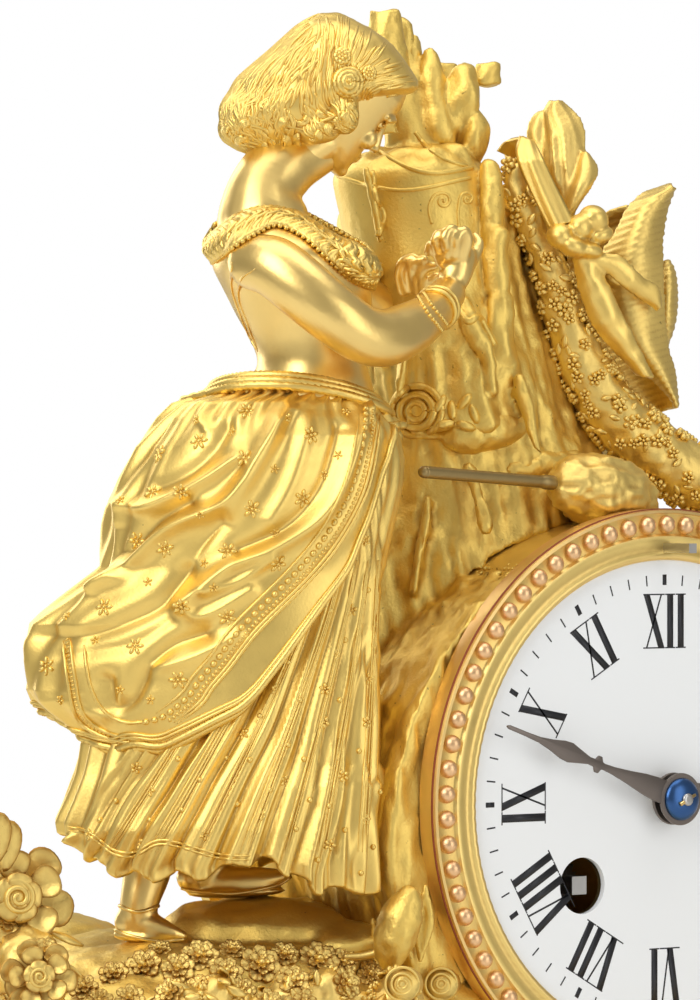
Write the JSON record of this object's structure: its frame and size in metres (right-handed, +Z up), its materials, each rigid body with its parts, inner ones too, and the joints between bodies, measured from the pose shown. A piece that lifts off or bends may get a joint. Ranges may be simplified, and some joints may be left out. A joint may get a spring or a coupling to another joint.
{
  "type": "figural mantel clock",
  "caption": "Gilt-bronze mantel clock: a young woman carves a tree trunk above a round two-train movement with an enamel dial, on a flower-strewn base.",
  "frame": {"origin": "centre of the base, on the surface that the feet stand on", "axes": "+X along the length of the base towards the right end seen from the dial side, +Z up; the dial faces -Y"},
  "size_m": [0.35, 0.13, 0.2836],
  "materials": {
    "gilt_bronze": "mercury gilding, matte and burnished",
    "gilt_bezel": "gilt, beads worn to copper",
    "enamel": "white vitreous enamel",
    "hand_steel": "grey-brown steel",
    "blued_steel": "dark blued and domed",
    "movement_brass": "polished, lightly tarnished",
    "arbor_steel": "polished steel",
    "bell_metal": "silvered bell bronze",
    "dull_brass": "unpolished drawn rod"
  },
  "bodies": {
    "root": {"apron_mount": "gilt_bronze", "back_plate": "movement_brass", "base_feet": "gilt_bronze", "base_plinth": "gilt_bronze", "bell": "bell_metal", "bertha_collar": "gilt_bronze", "bezel": "gilt_bezel", "case_straps": "movement_brass", "dial_plate": "movement_brass", "drum_housing": "gilt_bronze", "enamel_dial": "enamel", "figure_feet": "gilt_bronze", "figure_hair": "gilt_bronze", "figure_head": "gilt_bronze", "figure_left_arm": "gilt_bronze", "figure_right_arm": "gilt_bronze", "figure_studs": "arbor_steel", "figure_torso": "gilt_bronze", "front_flowers": "gilt_bronze", "front_plate": "movement_brass", "garland": "gilt_bronze", "ground_mound": "gilt_bronze", "leaf_spray": "gilt_bronze", "left_flowers": "gilt_bronze", "overskirt": "gilt_bronze", "plate_pillars": "movement_brass", "rear_bezel": "gilt_bronze", "ribbon_band": "gilt_bronze", "ribbon_bow": "gilt_bronze", "right_flowers": "gilt_bronze", "rock_block": "gilt_bronze", "straw_hat": "gilt_bronze", "support_pin": "dull_brass", "suspension_cock": "movement_brass", "tree_trunk": "gilt_bronze", "trunk_carvings": "gilt_bronze", "underskirt": "gilt_bronze"},
    "minute_hand_work": {"minute_hand": "hand_steel", "hand_collet": "blued_steel", "cannon_pinion": "arbor_steel"},
    "hour_hand_work": {"hour_hand": "hand_steel", "hour_wheel": "movement_brass"},
    "minute_wheel_work": {"minute_wheel": "movement_brass"},
    "escape_arbor": {"escape_wheel": "movement_brass"},
    "third_arbor": {"third_wheel": "movement_brass"},
    "centre_arbor": {"centre_wheel": "movement_brass"},
    "intermediate_arbor": {"intermediate_wheel": "movement_brass"},
    "going_barrel_drum": {"going_barrel": "movement_brass"},
    "going_winding": {"going_winding_arbor": "arbor_steel"},
    "strike_winding": {"strike_winding_arbor": "arbor_steel"},
    "fly_arbor": {"fly": "movement_brass"},
    "pin_arbor": {"pin_wheel": "movement_brass"},
    "count_arbor": {"count_wheel": "movement_brass"},
    "strike_barrel_drum": {"strike_barrel": "movement_brass"},
    "pendulum": {"pallet_anchor": "arbor_steel", "pendulum_rod": "movement_brass", "pendulum_bob": "movement_brass"},
    "hammer_arbor": {"hammer": "arbor_steel"},
    "regulator": {"regulator_arbor": "arbor_steel"},
    "door": {"rear_door": "gilt_bronze"}
  },
  "joints": [
    {"name": "minute_hand_turn", "type": "hinge", "parent": "root", "child": "minute_hand_work", "pos_m": [0, 0, 0.125], "axis": [0, 1, 0], "continuous": true},
    {"name": "hour_hand_turn", "type": "hinge", "parent": "root", "child": "hour_hand_work", "pos_m": [0, 0, 0.125], "axis": [0, 1, 0], "continuous": true},
    {"name": "minute_wheel_turn", "type": "hinge", "parent": "root", "child": "minute_wheel_work", "pos_m": [0, 0, 0.137], "axis": [0, 1, 0], "continuous": true},
    {"name": "escape_wheel_turn", "type": "hinge", "parent": "root", "child": "escape_arbor", "pos_m": [0, 0, 0.1474], "axis": [0, 1, 0], "continuous": true},
    {"name": "third_wheel_turn", "type": "hinge", "parent": "root", "child": "third_arbor", "pos_m": [0.00451, 0, 0.13788], "axis": [0, 1, 0], "continuous": true},
    {"name": "centre_wheel_turn", "type": "hinge", "parent": "root", "child": "centre_arbor", "pos_m": [0, 0, 0.125], "axis": [0, 1, 0], "continuous": true},
    {"name": "intermediate_wheel_turn", "type": "hinge", "parent": "root", "child": "intermediate_arbor", "pos_m": [0.01388, 0, 0.12683], "axis": [0, 1, 0], "continuous": true},
    {"name": "going_barrel_turn", "type": "hinge", "parent": "root", "child": "going_barrel_drum", "pos_m": [0.0208, 0, 0.1083], "axis": [0, 1, 0], "continuous": true},
    {"name": "going_winding_turn", "type": "hinge", "parent": "root", "child": "going_winding", "pos_m": [0.0208, 0, 0.1083], "axis": [0, 1, 0], "continuous": true},
    {"name": "strike_winding_turn", "type": "hinge", "parent": "root", "child": "strike_winding", "pos_m": [-0.0208, 0, 0.1083], "axis": [0, 1, 0], "continuous": true},
    {"name": "fly_turn", "type": "hinge", "parent": "root", "child": "fly_arbor", "pos_m": [-0.01279, 0, 0.14665], "axis": [0, 1, 0], "continuous": true},
    {"name": "pin_wheel_turn", "type": "hinge", "parent": "root", "child": "pin_arbor", "pos_m": [-0.01708, 0, 0.13922], "axis": [0, 1, 0], "continuous": true},
    {"name": "count_wheel_turn", "type": "hinge", "parent": "root", "child": "count_arbor", "pos_m": [-0.01388, 0, 0.12683], "axis": [0, 1, 0], "continuous": true},
    {"name": "strike_barrel_turn", "type": "hinge", "parent": "root", "child": "strike_barrel_drum", "pos_m": [-0.0208, 0, 0.1083], "axis": [0, 1, 0], "continuous": true},
    {"name": "pendulum_swing", "type": "hinge", "parent": "root", "child": "pendulum", "pos_m": [0, 0, 0.163], "axis": [0, 1, 0], "range_deg": [-4, 4]},
    {"name": "hammer_lift", "type": "hinge", "parent": "root", "child": "hammer_arbor", "pos_m": [-0.027, 0, 0.147], "axis": [0, 1, 0], "range_deg": [0, 12]},
    {"name": "regulator_turn", "type": "hinge", "parent": "root", "child": "regulator", "pos_m": [0, 0, 0.175], "axis": [0, 1, 0], "continuous": true},
    {"name": "rear_door_swing", "type": "hinge", "parent": "root", "child": "door", "pos_m": [0.0535, 0.0465, 0.125], "axis": [0, 0, -1], "range_deg": [0, 110]}
  ],
  "couplings": [
    {"joint": "hour_hand_turn", "follows": "minute_hand_turn", "ratio": 0.083333},
    {"joint": "minute_wheel_turn", "follows": "minute_hand_turn", "ratio": -0.33333},
    {"joint": "third_wheel_turn", "follows": "escape_wheel_turn", "ratio": -0.08},
    {"joint": "centre_wheel_turn", "follows": "escape_wheel_turn", "ratio": 0.0066667},
    {"joint": "intermediate_wheel_turn", "follows": "escape_wheel_turn", "ratio": -0.00074074},
    {"joint": "going_barrel_turn", "follows": "escape_wheel_turn", "ratio": 0.00011111},
    {"joint": "pin_wheel_turn", "follows": "fly_turn", "ratio": -0.1},
    {"joint": "count_wheel_turn", "follows": "fly_turn", "ratio": 0.011111},
    {"joint": "strike_barrel_turn", "follows": "fly_turn", "ratio": -0.0016667}
  ]
}
